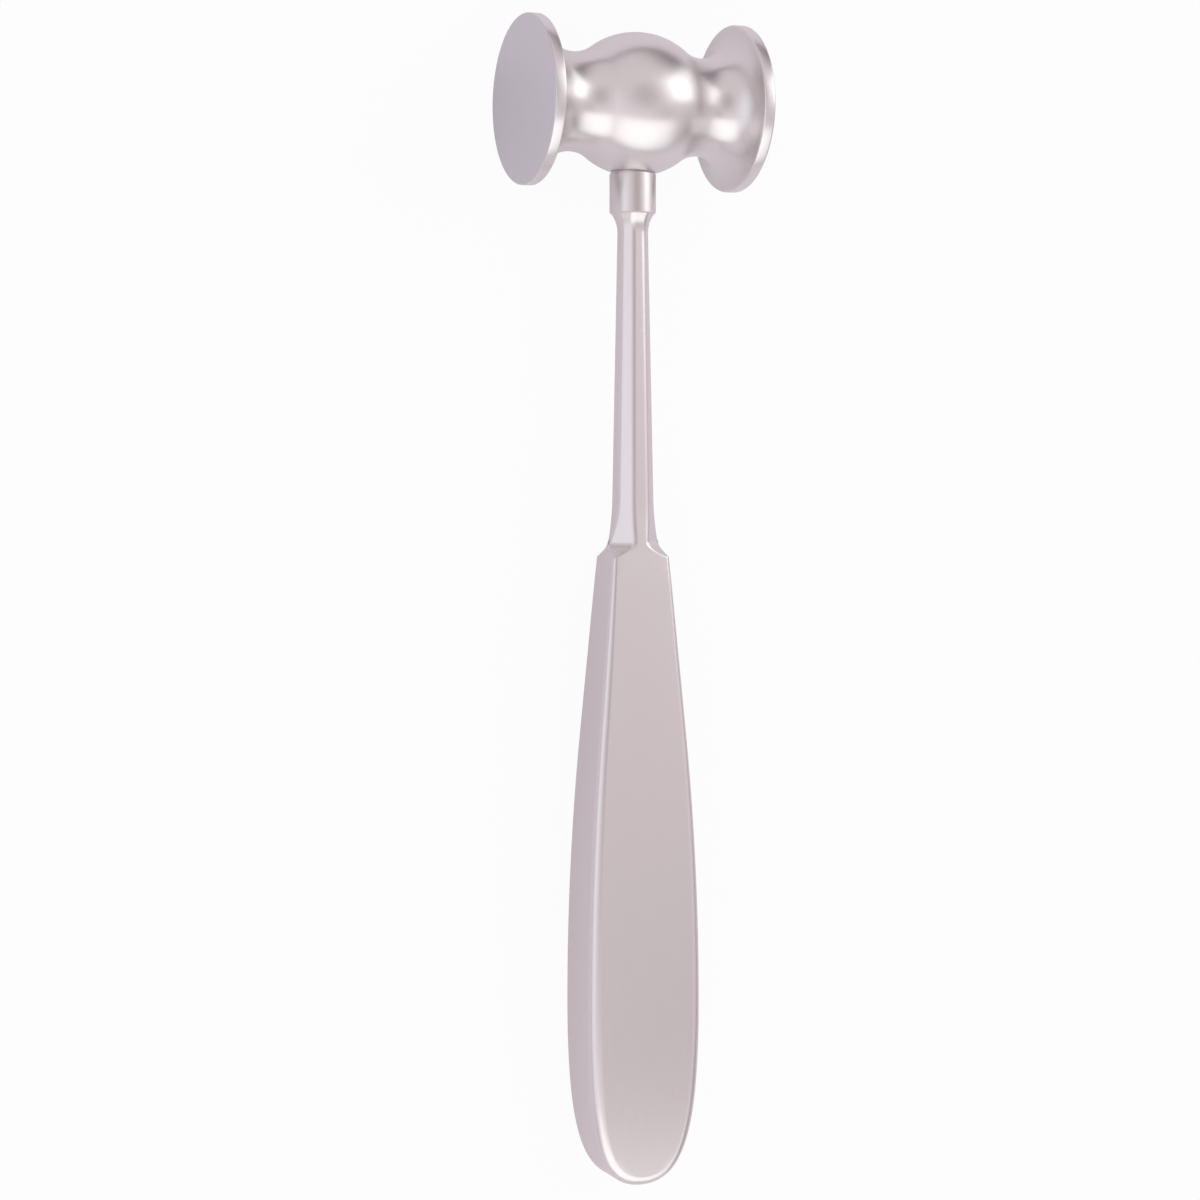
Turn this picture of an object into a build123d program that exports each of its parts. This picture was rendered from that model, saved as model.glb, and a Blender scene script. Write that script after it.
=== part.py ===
from build123d import *
import math
import os

# A surgical mallet in millimetres: a turned steel head screwed onto a one-piece steel handle.
# It is drawn with the head's axis along X, the handle down -Y and its broad front face up Z,
# with distances from the head's axis, and it is laid down to rest at the end.

# Head
face_diameter = 30.0
head_length = 42.4
rim_thickness = 2.2
rim_bevel = 0.25
waist_diameter = 17.5
waist_spacing = 25.2
belly_diameter = 25.5
belly_crown_radius = 14.0
belly_offset = 0.5

# Joint between head and handle
collar_diameter = 8.4
collar_end = 19.5
collar_bevel = 0.25
flare_width = 7.2
seat_distance = 11.3
spigot_diameter = 6.0
spigot_length = 8.6
spigot_bevel = 0.5
fit_clearance = 0.05
socket_spare = 0.8
drill_point_angle = 118.0

# Shoulder, where the neck's flats run out in ramps and the four-sided grip begins
shoulder = 80.1
shoulder_width = 10.95
shoulder_depth = 8.2
ramp_length = 7.1
ramp_middle = shoulder - ramp_length / 2
corner_ramp_length = 1.4
corner_ramp_angle = 45.0
corner_ramp_radius = 3.0

# Neck, an eight-sided taper measured across its flats
neck_start = 23.0
neck_start_width = 5.3
neck_end = shoulder - ramp_length
neck_end_width = 7.2
neck_end_depth = 7.1

# Grip, widest and deepest at its swell, from which the butt runs to the end
grip_end = 195.8
butt_length = 31.7
swell = grip_end - butt_length
grip_width = 22.1
grip_depth = 12.8
swell_radius = 530.0
butt_back_radius = 450.0
butt_side_share = 0.7  # of its length along which the butt's curve follows the side
butt_end_share = 0.78  # of its half width along which that curve follows the end
grip_edge_radius = 1.8


def on_handle(distance, across):
    """A point this far down the handle and half of a measure across off its axis."""
    return (across / 2, -distance)


def arc_fall(radius, run):
    """How far an arc falls away from its tangent over a run."""
    return radius - math.sqrt(radius**2 - run**2)


def arc_radius(run, fall):
    """The radius of an arc that falls this far from its tangent over a run."""
    return (run**2 + fall**2) / (2 * fall)


def head_section():
    """Half the section of the head: rims, flares, waists and belly above its axis."""
    face_radius = face_diameter / 2
    belly_radius = belly_diameter / 2
    half_spacing = waist_spacing / 2
    drop = (belly_diameter - waist_diameter) / 2
    crown_share = belly_crown_radius / arc_radius(half_spacing, drop)
    edges = [Line((-head_length / 2, 0), (head_length / 2, 0))]
    for side in (-1, 1):
        face = side * head_length / 2
        inner = face - side * rim_thickness
        bevel = side * rim_bevel
        waist = (belly_offset + side * half_spacing, waist_diameter / 2)
        turn = (belly_offset + side * half_spacing * crown_share, belly_radius - drop * crown_share)
        rim = Polyline(
            (face, 0),
            (face, face_radius - rim_bevel),
            (face - bevel, face_radius),
            (inner + bevel, face_radius),
            (inner, face_radius - rim_bevel),
        )
        edges.append(rim)
        edges.append(TangentArc(waist, rim @ 1, tangent=(side, 0)))
        edges.append(TangentArc(waist, turn, tangent=(-side, 0)))
        edges.append(TangentArc((belly_offset, belly_radius), turn, tangent=(side, 0)))
    return make_face(edges)


def turned(points):
    """A round body about the handle's axis, from distances and diameters."""
    section = Polyline([on_handle(*point) for point in points], close=True)
    return revolve(make_face(section), Axis.Y)


def socket():
    """The drilled hole for the spigot and the flat-bottomed recess for the collar."""
    hole = spigot_diameter + 2 * fit_clearance
    recess = collar_diameter + 2 * fit_clearance
    floor = seat_distance - spigot_length - socket_spare
    point = hole / 2 / math.tan(math.radians(drill_point_angle / 2))
    return turned(
        [
            (floor - point, 0),
            (floor, hole),
            (seat_distance, hole),
            (seat_distance, recess),
            (belly_diameter, recess),
            (belly_diameter, 0),
        ]
    )


def head():
    """The turned head, bored for the handle."""
    return revolve(head_section(), Axis.X) - socket()


def collar_and_spigot():
    """The round end of the handle, from the spigot's tip to the collar's lower edge."""
    tip = seat_distance - spigot_length
    return turned(
        [
            (tip, 0),
            (tip, spigot_diameter - 2 * spigot_bevel),
            (tip + spigot_bevel, spigot_diameter),
            (seat_distance, spigot_diameter),
            (seat_distance, collar_diameter - 2 * collar_bevel),
            (seat_distance + collar_bevel, collar_diameter),
            (collar_end - collar_bevel, collar_diameter),
            (collar_end, collar_diameter - 2 * collar_bevel),
            (collar_end, 0),
        ]
    )


def slab(face, turn=0):
    """A face drawn on the handle's front, extruded through it and turned about its axis."""
    return Rot(Y=turn) * Pos(0, 0, -grip_width) * extrude(face, 2 * grip_width)


def mirrored(half_outline):
    """The face between a half outline and its mirror image across the handle's axis."""
    outline = Wire(half_outline)
    top = outline @ 0
    low = outline @ 1
    closing = Polyline(low, (0, low.Y), (0, top.Y), top)
    half = make_face([*outline.edges(), *closing.edges()])
    return half + mirror(half, Plane.YZ)


def neck_line(end_width):
    """One side of the neck, seen square to a pair of its flats."""
    return Line(on_handle(neck_start, neck_start_width), on_handle(neck_end, end_width))


def hollow_ramp(neck, width):
    """A hollow that reaches a width at the shoulder and carries on to clear the grip."""
    hollow = TangentArc(neck @ 1, on_handle(shoulder, width), tangent=neck % 1)
    clear_of_grip = Line(hollow @ 1, (hollow @ 1) + (shoulder - neck_end) * (hollow % 1))
    return [hollow, clear_of_grip]


def corner_ramp(neck):
    """A slanted flat carried on to its ramp, with a small hollow between them."""
    foot = neck @ 1 + (neck % 1) * (ramp_length - corner_ramp_length)
    rise = grip_depth / 2
    run = rise / math.tan(math.radians(corner_ramp_angle))
    top = foot + Vector(rise, -run)
    path = FilletPolyline(neck @ 1, foot, top, radius=corner_ramp_radius)
    return list(path.edges())


def neck_face(neck, ramp):
    """The flare under the collar, the neck and a ramp outwards, clear of the grip below."""
    flare = TangentArc(neck @ 0, on_handle(collar_end, flare_width), tangent=-(neck % 0))
    ramp_top = ramp[-1] @ 1
    low = -grip_end - grip_depth
    clear = Polyline(ramp_top, (grip_width, ramp_top.Y), (grip_width, low))
    return mirrored([flare, neck, *ramp, *clear.edges()])


def neck():
    """The neck's eight flats and their ramps: what its four pairs of outlines leave."""
    broad = neck_line(neck_end_width)
    narrow = neck_line(neck_end_depth)
    slanted = neck_line((neck_end_width + neck_end_depth) / 2)
    front = slab(neck_face(broad, hollow_ramp(broad, shoulder_width)))
    side = slab(neck_face(narrow, hollow_ramp(narrow, shoulder_depth)), 90)
    corners = neck_face(slanted, corner_ramp(slanted))
    return front & side & slab(corners, 45) & slab(corners, -45)


def tangent_from(point, center, radius):
    """Where a line from a point touches a circle, on the side that faces up the handle."""
    across = point - center
    lean = math.atan2(across.Y, across.X) - math.acos(radius / across.length)
    return center + radius * Vector(math.cos(lean), math.sin(lean))


def grip_side():
    """One side of the grip: a straight taper into a long arc, then the rounded butt."""
    widest = Vector(grip_width / 2, -swell)
    shoulder_point = Vector(*on_handle(shoulder, shoulder_width))
    taper_end = tangent_from(shoulder_point, widest - Vector(swell_radius, 0), swell_radius)
    slope = taper_end - shoulder_point
    start = shoulder_point - slope * ((ramp_middle - shoulder) / slope.Y)
    taper = Line(start, taper_end)
    arc = TangentArc(taper_end, widest, tangent=slope)
    side_pull = widest - Vector(0, butt_side_share * butt_length)
    end_pull = on_handle(grip_end, butt_end_share * grip_width)
    butt = Bezier(widest, side_pull, end_pull, (0, -grip_end))
    return [taper, arc, butt]


def grip_front():
    """The grip's outline from the front, down to its rounded butt."""
    side = Wire(grip_side())
    other = side.mirror(Plane.YZ)
    top = Line(side @ 0, other @ 0)
    return make_face([*side.edges(), *other.edges(), top])


def grip_profile():
    """The grip's outline from the side, carried on past its butt."""
    radius = arc_radius(swell - shoulder, (grip_depth - shoulder_depth) / 2)
    start_depth = grip_depth - 2 * arc_fall(radius, swell - ramp_middle)
    deepest = on_handle(swell, grip_depth)
    side = TangentArc(deepest, on_handle(ramp_middle, start_depth), tangent=(0, 1))
    end_run = butt_length + grip_depth
    end_depth = grip_depth - 2 * arc_fall(butt_back_radius, end_run)
    back = TangentArc(deepest, on_handle(swell + end_run, end_depth), tangent=(0, -1))
    return mirrored([side, back])


def grip():
    """The grip with its softened rim, carried up to the middle of the ramps."""
    form = slab(grip_front()) & slab(grip_profile(), 90)
    rim = form.edges().filter_by(GeomType.LINE, reverse=True)
    return fillet(rim, grip_edge_radius)


def handle():
    """The one-piece handle: spigot, collar, neck, shoulder and grip."""
    neck_room = Pos(0, -ramp_middle / 2, 0) * Box(grip_width, ramp_middle, grip_width)
    shank = neck() & (grip() + neck_room)
    return collar_and_spigot() + shank


def lying_down():
    """Tips the mallet until both rims and the back of the grip touch the ground."""
    arc_height = butt_back_radius - grip_depth / 2
    arc_distance = math.hypot(arc_height, swell)
    lean = math.atan2(swell, arc_height)
    tip = math.acos((butt_back_radius - face_diameter / 2) / arc_distance) - lean
    return Pos(0, 0, face_diameter / 2) * Rot(X=math.degrees(tip))


def main():
    rest = lying_down()
    pieces = {"head": rest * head(), "handle": rest * handle()}
    box = Compound(list(pieces.values())).bounding_box()
    middle = Pos(0, -box.center().Y, 0)
    os.makedirs("parts", exist_ok=True)
    for name, piece in pieces.items():
        export_step(middle * piece, f"parts/{name}.step")


main()
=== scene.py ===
import math

import bmesh
import bpy
import numpy as np
from mathutils import Matrix, Vector


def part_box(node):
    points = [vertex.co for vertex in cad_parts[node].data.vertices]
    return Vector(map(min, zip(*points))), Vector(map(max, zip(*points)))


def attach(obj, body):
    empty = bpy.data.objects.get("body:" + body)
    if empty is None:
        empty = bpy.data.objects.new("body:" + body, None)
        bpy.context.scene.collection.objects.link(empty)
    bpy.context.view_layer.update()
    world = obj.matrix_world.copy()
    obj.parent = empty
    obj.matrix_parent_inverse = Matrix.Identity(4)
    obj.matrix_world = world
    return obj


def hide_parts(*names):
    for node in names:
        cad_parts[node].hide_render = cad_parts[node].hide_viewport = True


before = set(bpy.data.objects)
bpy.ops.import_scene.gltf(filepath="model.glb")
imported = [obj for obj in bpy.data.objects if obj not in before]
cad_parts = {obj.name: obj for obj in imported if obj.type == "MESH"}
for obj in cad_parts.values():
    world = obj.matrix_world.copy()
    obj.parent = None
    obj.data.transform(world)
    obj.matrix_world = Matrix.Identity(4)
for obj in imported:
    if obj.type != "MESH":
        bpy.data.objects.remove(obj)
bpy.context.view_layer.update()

# A surgical mallet: a turned steel head on a one-piece steel handle. Both are drawn in
# millimetres with the head's axis along X, the handle down -Y and the broad front up Z,
# and s is a distance down the handle from the head's axis. Then they are laid down.

mm = 0.001


def linear(hexColour):
    parts = [int(hexColour[i:i + 2], 16) / 255 for i in (1, 3, 5)]
    return tuple(p / 12.92 if p <= 0.04045 else ((p + 0.055) / 1.055) ** 2.4 for p in parts) + (1.0,)


def addNode(tree, kind, settings=None, **links):
    # A link to _0 goes to input 0. A Mix node's inputs are 0 for the factor, 2 and 3 for
    # numbers, 4 and 5 for vectors, and 6 and 7 for colours.
    node = tree.nodes.new(kind)
    for name, value in (settings or {}).items():
        if isinstance(name, int) or name in node.inputs:
            node.inputs[name].default_value = value
        else:
            setattr(node, name, value)
    for name, source in links.items():
        socket = int(name[1:]) if name[1:].isdigit() else name.replace("_", " ")
        tree.links.new(source, node.inputs[socket])
    return node


def newMaterial(name):
    material = bpy.data.materials.new(name)
    material.use_nodes = True
    material.node_tree.nodes.clear()
    return material, material.node_tree


def newPiece(name, mesh):
    piece = bpy.data.objects.new(name, mesh)
    bpy.context.collection.objects.link(piece)
    return piece


def facesOutward(mesh, mergeDistance=1e-7, shortestEdge=1e-8):
    # In metres, once the mesh has its place: poles and seams close before the faces turn.
    form = bmesh.new()
    form.from_mesh(mesh)
    bmesh.ops.remove_doubles(form, verts=form.verts, dist=mergeDistance)
    bmesh.ops.dissolve_degenerate(form, edges=form.edges, dist=shortestEdge)
    bmesh.ops.recalc_face_normals(form, faces=form.faces)
    form.to_mesh(mesh)
    form.free()


def arcFall(radius, run):
    # How far an arc falls away from its tangent over a run.
    return radius - math.sqrt(max(radius**2 - run**2, 0.0))


def arcRadius(run, fall):
    return (run**2 + fall**2) / (2 * fall)


# Head, turned from one bar

head = {
    "faceDiameter": 30.0,
    "length": 42.4,
    "rimThickness": 2.2,
    "rimBevel": 0.4,
    "waistDiameter": 17.5,
    "waistSpacing": 25.2,
    "bellyDiameter": 25.5,
    "crownRadius": 14.0,
    "bellyOffset": 0.5,
    "crownSteps": 24,
    "hollowSteps": 16,
    "flareSteps": 40,
    "bevelSteps": 4,
    "stepsAround": 288,
    "mergeDistance": 0.002,
    "sharpAngle": 35,  # degrees between faces from which an edge stays sharp
}


def arcPoints(centre, radius, start, end, steps):
    angles = [math.radians(start + (end - start) * i / steps) for i in range(steps + 1)]
    return [(centre[0] + radius * math.cos(a), centre[1] + radius * math.sin(a)) for a in angles]


def headHalfProfile(side):
    # From the crown of the belly out over waist and flare to the middle of a striking face.
    faceRadius = head["faceDiameter"] / 2
    bellyRadius = head["bellyDiameter"] / 2
    waistRadius = head["waistDiameter"] / 2
    halfSpacing = head["waistSpacing"] / 2
    bevel = head["rimBevel"]

    # The belly's crown turns over into the hollow of the waist, on one pair of arcs.
    crown = head["crownRadius"]
    bothRadii = arcRadius(halfSpacing, bellyRadius - waistRadius)
    hollow = bothRadii - crown
    turn = math.degrees(math.asin(halfSpacing / bothRadii))
    wave = arcPoints((0, bellyRadius - crown), crown, 90, 90 - turn, head["crownSteps"])
    centre = (halfSpacing, waistRadius + hollow)
    wave += arcPoints(centre, hollow, 270 - turn, 270, head["hollowSteps"])[1:]
    outline = [(head["bellyOffset"] + side * x, r) for x, r in wave]

    # The flare runs from the waist to the back of the rim.
    waist = head["bellyOffset"] + side * halfSpacing
    inner = side * (head["length"] / 2 - head["rimThickness"])
    run = abs(inner - waist)
    rise = faceRadius - bevel - waistRadius
    flare = arcRadius(run, rise)
    reach = math.degrees(math.atan2(run, flare - rise))
    sweep = arcPoints((0, waistRadius + flare), flare, 270, 270 + reach, head["flareSteps"])
    outline += [(waist + side * x, r) for x, r in sweep[1:]]

    # The rim has two rounded edges and ends at the middle of the face.
    face = side * head["length"] / 2
    rimRadius = faceRadius - bevel
    back = arcPoints((0, 0), bevel, 180, 90, head["bevelSteps"])
    front = arcPoints((0, 0), bevel, 90, 0, head["bevelSteps"])
    outline += [(inner + side * (bevel + x), rimRadius + r) for x, r in back[1:]]
    outline += [(face - side * (bevel - x), rimRadius + r) for x, r in front]
    return outline + [(face, 0.0)]


def turningTree():
    # Turns a line of (distance along X, radius) into a closed round body about X: a sheet
    # with a row of points for each point of the line is wrapped round the axis.
    tree = bpy.data.node_groups.new("turnOnLathe", "GeometryNodeTree")
    sockets = tree.interface
    sockets.new_socket("Profile", in_out="INPUT", socket_type="NodeSocketGeometry")
    sockets.new_socket("Steps Around", in_out="INPUT", socket_type="NodeSocketInt")
    sockets.new_socket("Merge Distance", in_out="INPUT", socket_type="NodeSocketFloat")
    sockets.new_socket("Material", in_out="INPUT", socket_type="NodeSocketMaterial")
    sockets.new_socket("Turned Body", in_out="OUTPUT", socket_type="NodeSocketGeometry")
    given = addNode(tree, "NodeGroupInput").outputs
    profile, stepsAround = given["Profile"], given["Steps Around"]

    count = addNode(tree, "GeometryNodeAttributeDomainSize", {"component": "MESH"}, Geometry=profile)
    rows = count.outputs["Point Count"]
    columns = addNode(tree, "ShaderNodeMath", {"operation": "ADD", 1: 1.0}, _0=stepsAround).outputs[0]
    unitSheet = {"Size X": 1.0, "Size Y": 1.0}
    sheet = addNode(tree, "GeometryNodeMeshGrid", unitSheet, Vertices_X=rows, Vertices_Y=columns)

    index = addNode(tree, "GeometryNodeInputIndex").outputs[0]
    divide = {"operation": "DIVIDE"}
    share = addNode(tree, "ShaderNodeMath", divide, _0=index, _1=columns).outputs[0]
    row = addNode(tree, "ShaderNodeMath", {"operation": "FLOOR"}, _0=share).outputs[0]
    column = addNode(tree, "ShaderNodeMath", {"operation": "MODULO"}, _0=index, _1=columns).outputs[0]
    part = addNode(tree, "ShaderNodeMath", divide, _0=column, _1=stepsAround).outputs[0]
    wholeTurn = {"operation": "MULTIPLY", 1: -2 * math.pi}
    angle = addNode(tree, "ShaderNodeMath", wholeTurn, _0=part).outputs[0]

    position = addNode(tree, "GeometryNodeInputPosition").outputs[0]
    onPoints = {"data_type": "FLOAT_VECTOR", "domain": "POINT"}
    station = addNode(
        tree, "GeometryNodeSampleIndex", onPoints, Geometry=profile, Value=position, Index=row,
    ).outputs[0]
    aboutX = {"rotation_type": "X_AXIS"}
    turned = addNode(tree, "ShaderNodeVectorRotate", aboutX, Vector=station, Angle=angle).outputs[0]

    body = sheet.outputs["Mesh"]
    body = addNode(tree, "GeometryNodeSetPosition", Geometry=body, Position=turned).outputs[0]
    merge = given["Merge Distance"]
    body = addNode(tree, "GeometryNodeMergeByDistance", Geometry=body, Distance=merge).outputs[0]
    body = addNode(tree, "GeometryNodeSetShadeSmooth", Geometry=body).outputs[0]
    body = addNode(tree, "GeometryNodeRealizeInstances", Geometry=body).outputs[0]
    material = given["Material"]
    body = addNode(tree, "GeometryNodeSetMaterial", Geometry=body, Material=material).outputs[0]
    addNode(tree, "NodeGroupOutput", Turned_Body=body)
    return tree


def setInput(modifier, name, value):
    for item in modifier.node_group.interface.items_tree:
        if item.item_type == "SOCKET" and item.in_out == "INPUT" and item.name == name:
            modifier[item.identifier] = value


def asPlainMesh(name, source):
    # What the nodes make becomes an ordinary mesh of its own.
    depsgraph = bpy.context.evaluated_depsgraph_get()
    mesh = bpy.data.meshes.new_from_object(source.evaluated_get(depsgraph), depsgraph=depsgraph)
    mesh.name = name
    bpy.data.objects.remove(source)
    return mesh


def makeHead(material):
    points = headHalfProfile(-1)[::-1] + headHalfProfile(1)[1:]
    line = bpy.data.meshes.new("headProfile")
    line.from_pydata([(x, r, 0.0) for x, r in points], [(i, i + 1) for i in range(len(points) - 1)], [])
    blank = newPiece("headBlank", line)
    modifier = blank.modifiers.new("turning", "NODES")
    modifier.node_group = turningTree()
    setInput(modifier, "Steps Around", head["stepsAround"])
    setInput(modifier, "Merge Distance", head["mergeDistance"])
    setInput(modifier, "Material", material)
    mesh = asPlainMesh("head_turned", blank)
    mesh.transform(laidDown)
    facesOutward(mesh)
    mesh.set_sharp_from_angle(angle=math.radians(head["sharpAngle"]))
    print("head turned:", len(mesh.polygons), "faces")
    return newPiece("head_turned", mesh)


# Handle, one forged and ground piece

handle = {
    "top": 11.4,  # hidden in the head, as is the groove's upper part
    "seamDiameter": 7.7,  # of the groove that shows as the joint between head and collar
    "seamEnd": 12.2,
    "seamBevelEnd": 12.6,
    "collarDiameter": 8.35,
    "collarEnd": 19.5,
    "collarBevel": 0.2,
    "flareWidth": 7.5,
    "neckStart": 23.0,
    "neckStartWidth": 5.3,
    "neckEnd": 70.5,
    "neckEndWidth": 7.1,
    "neckEndDepth": 7.0,
    "neckEdge": 1.4,
    "shoulder": 80.1,
    "shoulderWidth": 10.95,
    "shoulderDepth": 8.2,
    "cornerRampFoot": 78.3,
    "cornerRampSlope": 1.5,
    "cornerRampOnset": 2.0,
    "crestSoftness": 0.9,
    "rampsEnd": 84.0,
    "swell": 164.1,
    "swellRadius": 530.0,
    "gripWidth": 22.1,
    "gripDepth": 12.8,
    "gripEnd": 195.8,
    "backRadius": 450.0,
    "buttSideShare": 0.7,
    "buttEndShare": 0.78,
    # Distances down the handle with the radius of the grip's edges there.
    "gripEdges": (
        (81.0, 0.8),
        (100.0, 1.3),
        (135.0, 1.8),
        (175.0, 2.2),
        (190.0, 2.0),
        (196.0, 1.8),
    ),
    "flareSteps": 12,
    "neckSteps": 23,
    "rampSteps": 80,
    "gripSteps": 109,
    "buttSteps": 72,
    "edgeSteps": 6,  # round half of an edge
    "flatSteps": 8,  # across the front and the back
    "sharpAngle": 35,
}


def softMinimum(a, b, softness):
    # The smaller of two, with a small round where they cross.
    share = max(softness - abs(a - b), 0.0) / softness
    return min(a, b) - share * share * softness / 4


def neckWidth(s, endWidth):
    # The flare under the collar and the neck's straight taper.
    start = handle["neckStart"]
    slope = (endWidth - handle["neckStartWidth"]) / (handle["neckEnd"] - start)
    width = handle["neckStartWidth"] + slope * (s - start)
    if s < start:
        fall = (handle["flareWidth"] - handle["neckStartWidth"]) / 2
        width += 2 * arcFall(arcRadius(start - handle["collarEnd"], fall), start - s)
    return width


def rampWidth(s, endWidth, shoulderWidth):
    # The neck, with a hollow ramp to the shoulder that carries straight on past it.
    width = neckWidth(s, endWidth)
    if s > handle["neckEnd"]:
        run = handle["shoulder"] - handle["neckEnd"]
        fall = (shoulderWidth - neckWidth(handle["shoulder"], endWidth)) / 2
        radius = arcRadius(run, fall)
        width += 2 * arcFall(radius, min(s - handle["neckEnd"], run))
        if s > handle["shoulder"]:
            width += 2 * (s - handle["shoulder"]) * run / math.sqrt(radius**2 - run**2)
    return width


def gripWidthAt(s):
    # A straight taper from the shoulder that runs into a long arc, widest at the swell.
    radius = handle["swellRadius"]
    middle = Vector((handle["gripWidth"] / 2 - radius, handle["swell"]))
    across = Vector((handle["shoulderWidth"] / 2, handle["shoulder"])) - middle
    turn = math.acos(radius / across.length) - math.atan2(-across.y, across.x)
    touch = middle + radius * Vector((math.cos(turn), math.sin(turn)))
    if s < touch.y:
        share = (s - handle["shoulder"]) / (touch.y - handle["shoulder"])
        return handle["shoulderWidth"] + (2 * touch.x - handle["shoulderWidth"]) * share
    return handle["gripWidth"] - 2 * arcFall(radius, s - handle["swell"])


def gripDepthAt(s):
    radius = handle["backRadius"]
    if s < handle["swell"]:
        fall = (handle["gripDepth"] - handle["shoulderDepth"]) / 2
        radius = arcRadius(handle["swell"] - handle["shoulder"], fall)
    return handle["gripDepth"] - 2 * arcFall(radius, s - handle["swell"])


def crestAt(s, ramp, grip):
    # Over the ramps the smaller of the two, with a crest that rounds off by degrees.
    middle = (handle["neckEnd"] + handle["shoulder"]) / 2
    share = (s - middle) / (handle["shoulder"] - middle)
    return softMinimum(ramp, grip, handle["crestSoftness"] * min(share, 1.0)) if share > 0 else ramp


def widthAt(s):
    ramp = rampWidth(s, handle["neckEndWidth"], handle["shoulderWidth"])
    return crestAt(s, ramp, gripWidthAt(s))


def depthAt(s):
    ramp = rampWidth(s, handle["neckEndDepth"], handle["shoulderDepth"])
    return crestAt(s, ramp, gripDepthAt(s))


def cornerAt(s):
    # Across the slanted flats, which run out in ramps at the shoulder.
    middle = (handle["neckEndWidth"] + handle["neckEndDepth"]) / 2
    past = max(s - handle["cornerRampFoot"], 0.0)
    onset = handle["cornerRampOnset"]
    rise = past**2 / (2 * onset) if past < onset else past - onset / 2
    return neckWidth(s, middle) + 2 * rise * handle["cornerRampSlope"]


def edgeAt(s):
    # Level down the neck, then as the grip's table says.
    places, radii = zip((handle["cornerRampFoot"], handle["neckEdge"]), *handle["gripEdges"])
    return float(np.interp(s, places, radii))


def ringPoints(x, s, nx, ns, edge, depth, corner=math.inf):
    # One closed loop round the handle: from the middle of the right side over the front,
    # the left side and the back. The outline passes through (x, s) and faces (nx, ns) there,
    # edge is the radius of the rounded edges and corner the width across the slanted flats.
    front = depth / 2 - edge
    slanted = corner / math.sqrt(2) - math.sqrt(2) * edge
    cut = max(x - edge + front - slanted, 0.0)
    quarter = []
    for begin, inward, height in ((0, 0.0, front - cut), (45, cut, front)):
        for i in range(handle["edgeSteps"] + 1):
            angle = math.radians(begin + 45 * i / handle["edgeSteps"])
            quarter.append((inward + edge * (1 - math.cos(angle)), height + edge * math.sin(angle)))
    right = []
    for inward, z in quarter:
        place = s - inward * ns
        if place > handle["shoulder"]:
            z += (depthAt(place) - depth) / 2  # the front falls away towards the butt's end
        right.append((x - inward * nx, place, z))
    steps = handle["flatSteps"]
    xEnd, sEnd, zEnd = right[-1]
    flat = [(xEnd * (1 - 2 * i / steps), sEnd, zEnd) for i in range(1, steps)]
    left = [(-px, ps, pz) for px, ps, pz in right[::-1]]
    upper = right + flat + left
    lower = [(px, ps, -pz) for px, ps, pz in upper[::-1]]
    return [(px, -ps, pz) for px, ps, pz in upper + lower]


def collarRings():
    # Round, from a tiny ring inside the head over the groove of the joint to the collar's end.
    collar, seam = handle["collarDiameter"], handle["seamDiameter"]
    bevel, end = handle["collarBevel"], handle["collarEnd"]
    stations = (
        (handle["top"], 0.02),
        (handle["top"], seam),
        (handle["seamEnd"], seam),
        (handle["seamEnd"], (seam + collar) / 2),
        (handle["seamBevelEnd"], collar),
        (end - bevel, collar),
        (end, collar - 2 * bevel),
    )
    return [ringPoints(width / 2, s, 1, 0, width / 2, width) for s, width in stations]


def shankRings():
    # Square to the handle, from the flare under the collar to the grip's swell.
    stations = [handle["collarEnd"]]
    for end, steps in (
        ("neckStart", "flareSteps"),
        ("neckEnd", "neckSteps"),
        ("rampsEnd", "rampSteps"),
        ("swell", "gripSteps"),
    ):
        stations += np.linspace(stations[-1], handle[end], handle[steps] + 1).tolist()[1:]
    return [ringPoints(widthAt(s) / 2, s, 1, 0, edgeAt(s), depthAt(s), cornerAt(s)) for s in stations]


def buttRings():
    # Square to the butt's curve, a Bezier from the widest place round to the tip.
    half = handle["gripWidth"] / 2
    start, end = handle["swell"], handle["gripEnd"]
    sidePull = (half, start + handle["buttSideShare"] * (end - start))
    endPull = (half * handle["buttEndShare"], end)
    a, b, c, d = (Vector(point) for point in ((half, start), sidePull, endPull, (0, end)))
    rings = []
    for i in range(1, handle["buttSteps"] + 1):
        t = i / handle["buttSteps"]
        u = 1 - t
        place = u**3 * a + 3 * u * u * t * b + 3 * u * t * t * c + t**3 * d
        along = u * u * (b - a) + 2 * u * t * (c - b) + t * t * (d - c)
        outward = Vector((along.y, -along.x)).normalized()
        rings.append(ringPoints(*place, *outward, edgeAt(place.y), depthAt(place.y)))
    return rings


def makeHandle(material):
    rings = collarRings() + shankRings() + buttRings()
    count = len(rings[0])
    faces = []
    for i in range(0, (len(rings) - 1) * count, count):
        for j in range(count):
            k = (j + 1) % count
            faces.append((i + j, i + k, i + count + k, i + count + j))
    mesh = bpy.data.meshes.new("handle_ground")
    mesh.from_pydata([point for ring in rings for point in ring], [], faces)
    mesh.transform(laidDown)
    facesOutward(mesh)
    mesh.polygons.foreach_set("use_smooth", [True] * len(mesh.polygons))
    mesh.set_sharp_from_angle(angle=math.radians(handle["sharpAngle"]))
    mesh.materials.append(material)
    piece = newPiece("handle_ground", mesh)
    weighted = piece.modifiers.new("flatFlats", "WEIGHTED_NORMAL")
    weighted.keep_sharp = True
    print("handle ground:", len(mesh.polygons), "faces")
    return piece


# Lying down, tipped until both rims and the back of the grip touch the ground

headLow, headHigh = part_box("head")
headMiddle = (Vector(headLow) + Vector(headHigh)) / 2


def restTip():
    arcHeight = handle["backRadius"] - handle["gripDepth"] / 2
    lean = math.atan2(handle["swell"], arcHeight)
    reach = math.hypot(arcHeight, handle["swell"])
    return math.acos((handle["backRadius"] - head["faceDiameter"] / 2) / reach) - lean


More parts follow.
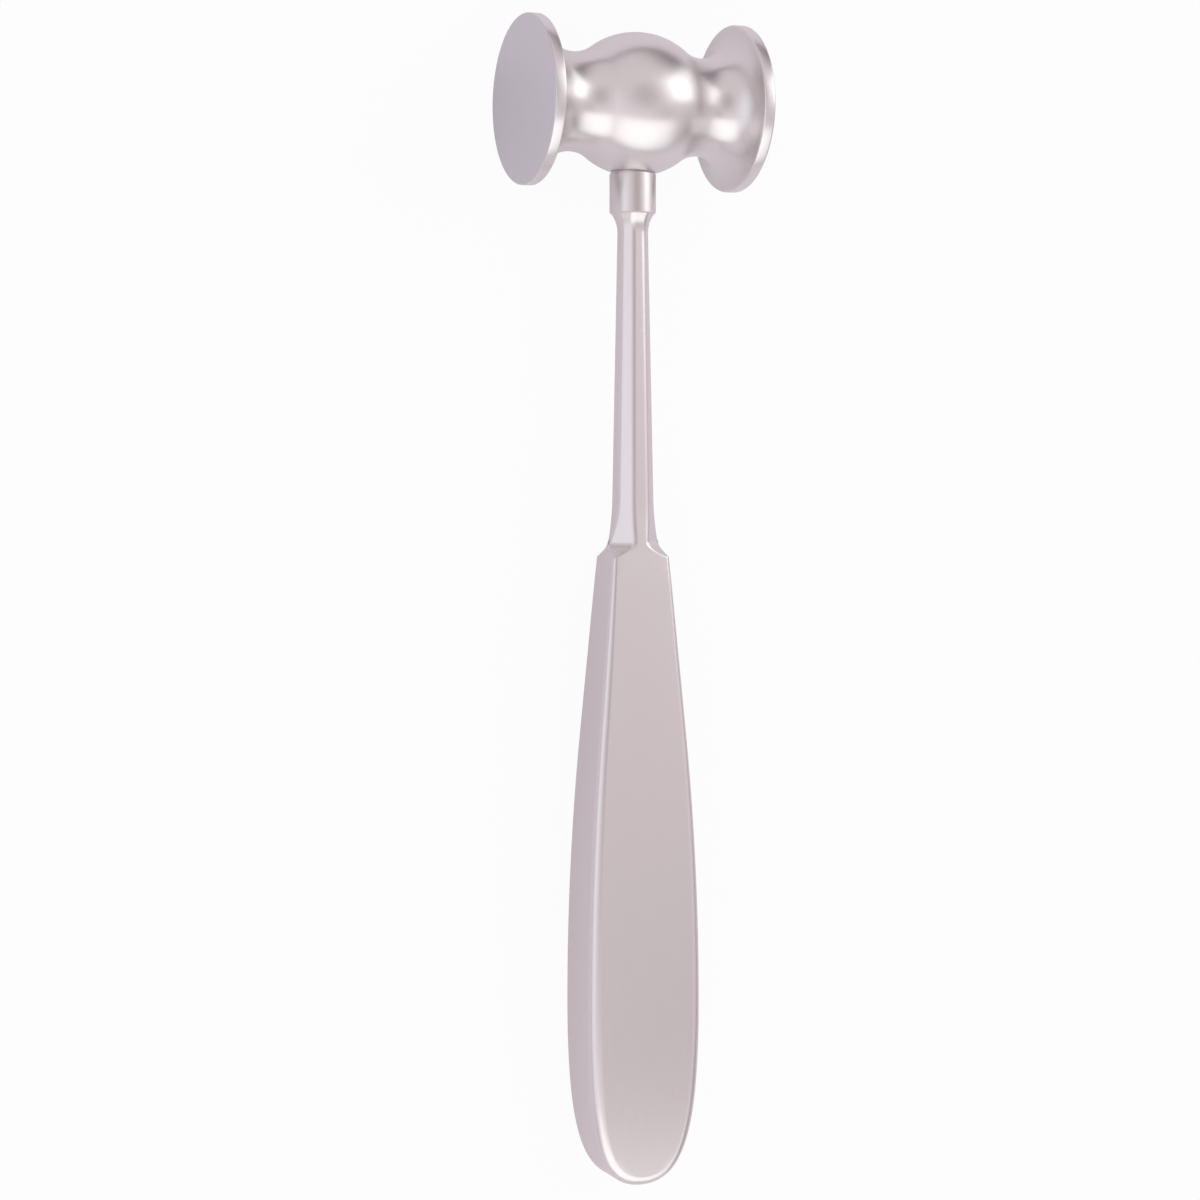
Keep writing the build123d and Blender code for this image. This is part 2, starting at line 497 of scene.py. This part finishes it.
tip = restTip()
laidDown = Matrix.Translation(headMiddle) @ Matrix.Rotation(tip, 4, "X") @ Matrix.Scale(mm, 4)

# Steel. Marks are given in millimetres across, along and through, about as fine as they
# can show: the real ones are some hundredths of a millimetre wide.

steel = {
    "headColour": "#ddd8d8",
    # The striking faces' colour is painted shade: darker and cooler than the head's own steel.
    "faceColourPaintedShade": "#d0cdd1",
    "handleColour": "#dbd3d5",
    "handleTint": "#d9d5d3",
    "headRoughness": 0.33,
    "handleRoughness": 0.3,
    "roughnessSpread": 0.05,
    "turningMark": (0.12, 0.12, 0.12),
    "faceMark": (0.15, 20.0, 0.1),
    "handleGrain": (0.15, 12.0, 0.15),
    "tintPatch": (12.0, 50.0, 12.0),
    "markDepth": 0.001,
    "headStretch": 0.6,
    "headStretchTurn": 0.25,
    "handleStretch": 0.45,
    "handleStretchTurn": 0.0,
}


def scaledPlace(tree, place, size, turn=0.0):
    # Place in units of a mark's size, turned to lie along the tipped mallet.
    scale = tuple(part * mm for part in size)
    settings = {"vector_type": "TEXTURE", "Rotation": (turn, 0, 0), "Scale": scale}
    return addNode(tree, "ShaderNodeMapping", settings, Vector=place).outputs[0]


def satinSurface(tree, name, colour, marks, tangent):
    # The marks scatter the gloss a little and tilt the surface by a hair, and the gloss
    # is drawn out across them.
    roughness, spread = steel[name + "Roughness"], steel["roughnessSpread"]
    limits = {"To Min": roughness - spread, "To Max": roughness + spread}
    rough = addNode(tree, "ShaderNodeMapRange", limits, Value=marks).outputs[0]
    depth = {"Strength": 1.0, "Distance": steel["markDepth"] * mm}
    bump = addNode(tree, "ShaderNodeBump", depth, Height=marks).outputs[0]
    metal = {
        "Metallic": 1.0,
        "Anisotropic": steel[name + "Stretch"],
        "Anisotropic Rotation": steel[name + "StretchTurn"],
    }
    shader = addNode(
        tree, "ShaderNodeBsdfPrincipled", metal,
        Base_Color=colour, Roughness=rough, Normal=bump, Tangent=tangent,
    )
    addNode(tree, "ShaderNodeOutputMaterial", Surface=shader.outputs[0])


def turnedSteel():
    # Stainless steel satin finished on a lathe: fine rings round the head that draw its
    # lights out along the axis, and straight brushing across both striking faces. The faces'
    # colour is set a little darker and cooler than the rest of the head: painted shade that
    # stands in for the darker reflection they show.
    material, tree = newMaterial("turnedStainlessSteel")
    place = addNode(tree, "ShaderNodeTexCoord").outputs["Object"]
    inHead = {"vector_type": "TEXTURE", "Location": tuple(headMiddle), "Rotation": (tip, 0, 0)}
    centred = addNode(tree, "ShaderNodeMapping", inHead, Vector=place).outputs[0]
    parts = addNode(tree, "ShaderNodeSeparateXYZ", Vector=centred).outputs
    flat = addNode(tree, "ShaderNodeCombineXYZ", Y=parts["Y"], Z=parts["Z"]).outputs[0]
    length = addNode(tree, "ShaderNodeVectorMath", {"operation": "LENGTH"}, Vector=flat)
    rings = addNode(tree, "ShaderNodeCombineXYZ", X=parts["X"], Y=length.outputs["Value"]).outputs[0]

    fromMiddle = addNode(tree, "ShaderNodeMath", {"operation": "ABSOLUTE"}, _0=parts["X"]).outputs[0]
    pastEdge = {"operation": "GREATER_THAN", 1: (head["length"] - head["rimBevel"]) / 2 * mm}
    onFace = addNode(tree, "ShaderNodeMath", pastEdge, _0=fromMiddle).outputs[0]
    ringPlace = scaledPlace(tree, rings, steel["turningMark"])
    facePlace = scaledPlace(tree, centred, steel["faceMark"])
    places = {"_0": onFace, "_4": ringPlace, "_5": facePlace}
    markPlace = addNode(tree, "ShaderNodeMix", {"data_type": "VECTOR"}, **places).outputs[1]
    noise = {"Scale": 1.0, "Detail": 3.0}
    marks = addNode(tree, "ShaderNodeTexNoise", noise, Vector=markPlace).outputs["Fac"]

    colours = {"data_type": "RGBA", 6: linear(steel["headColour"]), 7: linear(steel["faceColourPaintedShade"])}
    colour = addNode(tree, "ShaderNodeMix", colours, _0=onFace).outputs[2]
    aboutX = {"direction_type": "RADIAL", "axis": "X"}
    around = addNode(tree, "ShaderNodeTangent", aboutX).outputs[0]
    across = {"data_type": "VECTOR", 5: (0, 1, 0)}
    tangent = addNode(tree, "ShaderNodeMix", across, _0=onFace, _4=around).outputs[1]
    satinSurface(tree, "head", colour, marks, tangent)
    return material


def groundSteel():
    # Stainless steel ground along the handle: a soft lengthwise grain, with patches
    # that lean faintly to mauve and to grey.
    material, tree = newMaterial("groundStainlessSteel")
    place = addNode(tree, "ShaderNodeTexCoord").outputs["Object"]
    grainPlace = scaledPlace(tree, place, steel["handleGrain"], tip)
    grain = {"Scale": 1.0, "Detail": 3.0}
    marks = addNode(tree, "ShaderNodeTexNoise", grain, Vector=grainPlace).outputs["Fac"]
    patchPlace = scaledPlace(tree, place, steel["tintPatch"], tip)
    cloud = {"Scale": 1.0, "Detail": 1.0}
    patches = addNode(tree, "ShaderNodeTexNoise", cloud, Vector=patchPlace).outputs["Fac"]
    colours = {"data_type": "RGBA", 6: linear(steel["handleColour"]), 7: linear(steel["handleTint"])}
    colour = addNode(tree, "ShaderNodeMix", colours, _0=patches).outputs[2]
    aboutY = {"direction_type": "RADIAL", "axis": "Y"}
    tangent = addNode(tree, "ShaderNodeTangent", aboutY).outputs[0]
    satinSurface(tree, "handle", colour, marks, tangent)
    return material


headSteel = turnedSteel()
handleSteel = groundSteel()
print("steel mixed:", headSteel.name, "and", handleSteel.name)

headPiece = makeHead(headSteel)
handlePiece = makeHandle(handleSteel)
for piece, node, slotName in ((headPiece, "head", "head_steel"), (handlePiece, "handle", "handle_steel")):
    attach(piece, "root")
    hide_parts(node)

# Floor, room and lamps. Directions are in degrees from the mallet's front: to the right
# and up towards the head.

studio = {
    "floorSize": 4.0,
    "floorColour": "#e4dce5",
    "floorWhiteness": {"Is Camera Ray": 0.94, "Is Glossy Ray": 0.35, "Is Transmission Ray": 0.35},
    "skyColour": "#fbf3f6",
    "skyLevel": 0.93,
    "horizon": {"height": 0.22, "level": 0.3},
    "skyPatches": (
        {"towards": (0, 70), "reach": (40, 62), "level": 0.87},
        {"towards": (-3, 9), "reach": (8, 25), "level": 0.54},
        {"towards": (-67, -5), "reach": (8, 30), "level": 1.3, "colour": "#f1f4fb"},
        {"towards": (27, -18), "reach": (3, 15), "level": 0.62},
        {"towards": (75, 65), "reach": (18, 50), "level": 0.2},
        {"towards": (80, -62), "reach": (20, 55), "level": 0.45},
    ),
    "lampColour": "#f8fffd",
    "lamps": (
        {"name": "lampBelow", "towards": (0, -55), "size": (3.8, 2.0), "brightness": 0.7},
        {"name": "lampRight", "towards": (61, 30), "size": (1.15, 2.3), "brightness": 1.36},
    ),
    "lampDistance": 2.0,
}


def direction(towards):
    # The two angles together say how far from the front, and which way.
    angle = math.hypot(*towards)
    share = math.sin(math.radians(angle)) / angle
    seen = Vector((towards[0] * share, towards[1] * share, math.cos(math.radians(angle))))
    return (Matrix.Rotation(tip, 3, "X") @ seen).normalized()


def glowing(hexColour, level):
    return tuple(level * part for part in linear(hexColour)[:3]) + (1.0,)


def makeFloor():
    mesh = bpy.data.meshes.new("floor")
    half = studio["floorSize"] / 2
    corners = [(-half, -half, 0), (half, -half, 0), (half, half, 0), (-half, half, 0)]
    mesh.from_pydata(corners, [], [(0, 1, 2, 3)])
    floor = newPiece("floor", mesh)
    # Matt white paper: it takes the mallet's shadow and looks nearly white to the camera.
    material, tree = newMaterial("whitePaperSweep")
    matt = addNode(tree, "ShaderNodeBsdfDiffuse", {"Color": linear(studio["floorColour"])})
    glow = addNode(tree, "ShaderNodeEmission", {"Color": (1, 1, 1, 1), "Strength": 1.0})
    path = addNode(tree, "ShaderNodeLightPath").outputs
    share = addNode(tree, "ShaderNodeValue").outputs[0]
    share.default_value = 0.0
    for ray, whiteness in studio["floorWhiteness"].items():
        part = {"operation": "MULTIPLY_ADD", 1: whiteness}
        share = addNode(tree, "ShaderNodeMath", part, _0=path[ray], _2=share).outputs[0]
    mix = addNode(tree, "ShaderNodeMixShader", _0=share, _1=matt.outputs[0], _2=glow.outputs[0])
    addNode(tree, "ShaderNodeOutputMaterial", Surface=mix.outputs[0])
    mesh.materials.append(material)


def makeWorld():
    # A bright room with paler and darker parts that dims towards the floor, and plain white
    # where the camera looks past the floor.
    world = bpy.data.worlds.new("softStudio")
    bpy.context.scene.world = world
    world.use_nodes = True
    tree = world.node_tree
    tree.nodes.clear()
    ray = addNode(tree, "ShaderNodeTexCoord").outputs["Generated"]
    colour = addNode(tree, "ShaderNodeRGB").outputs[0]
    colour.default_value = glowing(studio["skyColour"], studio["skyLevel"])
    for patch in studio["skyPatches"]:
        towards = {"operation": "DOT_PRODUCT", 1: direction(patch["towards"])}
        near = addNode(tree, "ShaderNodeVectorMath", towards, _0=ray).outputs["Value"]
        inner, outer = (math.cos(math.radians(angle)) for angle in patch["reach"])
        fade = {"interpolation_type": "SMOOTHSTEP", "From Min": outer, "From Max": inner}
        share = addNode(tree, "ShaderNodeMapRange", fade, Value=near).outputs[0]
        glow = glowing(patch.get("colour", studio["skyColour"]), patch["level"])
        blend = {"data_type": "RGBA", 7: glow}
        colour = addNode(tree, "ShaderNodeMix", blend, _0=share, _6=colour).outputs[2]
    height = addNode(tree, "ShaderNodeSeparateXYZ", Vector=ray).outputs["Z"]
    low = {
        "interpolation_type": "SMOOTHSTEP",
        "From Max": studio["horizon"]["height"],
        "To Min": studio["horizon"]["level"],
    }
    dimming = addNode(tree, "ShaderNodeMapRange", low, Value=height).outputs[0]
    room = addNode(tree, "ShaderNodeBackground", Color=colour, Strength=dimming).outputs[0]
    plain = {"Color": (1, 1, 1, 1), "Strength": 1.0}
    white = addNode(tree, "ShaderNodeBackground", plain).outputs[0]
    camera = addNode(tree, "ShaderNodeLightPath").outputs["Is Camera Ray"]
    mix = addNode(tree, "ShaderNodeMixShader", _0=camera, _1=room, _2=white).outputs[0]
    addNode(tree, "ShaderNodeOutputWorld", Surface=mix)


def makeLamp(lamp):
    data = bpy.data.lights.new(lamp["name"], "AREA")
    data.shape = "RECTANGLE"
    data.size, data.size_y = lamp["size"]
    data.energy = lamp["brightness"] * math.pi * data.size * data.size_y
    data.color = linear(studio["lampColour"])[:3]
    softbox = bpy.data.objects.new(lamp["name"], data)
    bpy.context.collection.objects.link(softbox)
    out = direction(lamp["towards"])
    softbox.location = out * studio["lampDistance"]
    softbox.rotation_euler = out.to_track_quat("Z", "Y").to_euler()


# Camera, placed in the millimetres in which the mallet is drawn

viewpoint = {
    "lens": 82.23,
    "sensorWidth": 36.0,
    "place": (-204.6, -56.52, 452.0),
    "target": (-6.51, -88.85, 0.0),
    "roll": -0.07,
    "clip": (0.01, 20.0),
}


def makeCamera():
    data = bpy.data.cameras.new("camera")
    data.lens = viewpoint["lens"]
    data.sensor_width = viewpoint["sensorWidth"]
    data.clip_start, data.clip_end = viewpoint["clip"]
    camera = bpy.data.objects.new("camera", data)
    bpy.context.collection.objects.link(camera)
    place = Vector(viewpoint["place"])
    back = (place - Vector(viewpoint["target"])).normalized()
    right = Vector((0, 1, 0)).cross(back).normalized()
    turn = Matrix((right, back.cross(right), back)).transposed().to_4x4()
    roll = Matrix.Rotation(math.radians(viewpoint["roll"]), 4, "Z")
    matrix = laidDown @ Matrix.Translation(place) @ turn @ roll
    camera.matrix_world = Matrix.LocRotScale(matrix.to_translation(), matrix.to_quaternion(), None)
    bpy.context.scene.camera = camera


makeFloor()
makeWorld()
for lamp in studio["lamps"]:
    makeLamp(lamp)
makeCamera()
bpy.context.scene.view_settings.view_transform = "Standard"
print("floor, room, lamps and camera set")
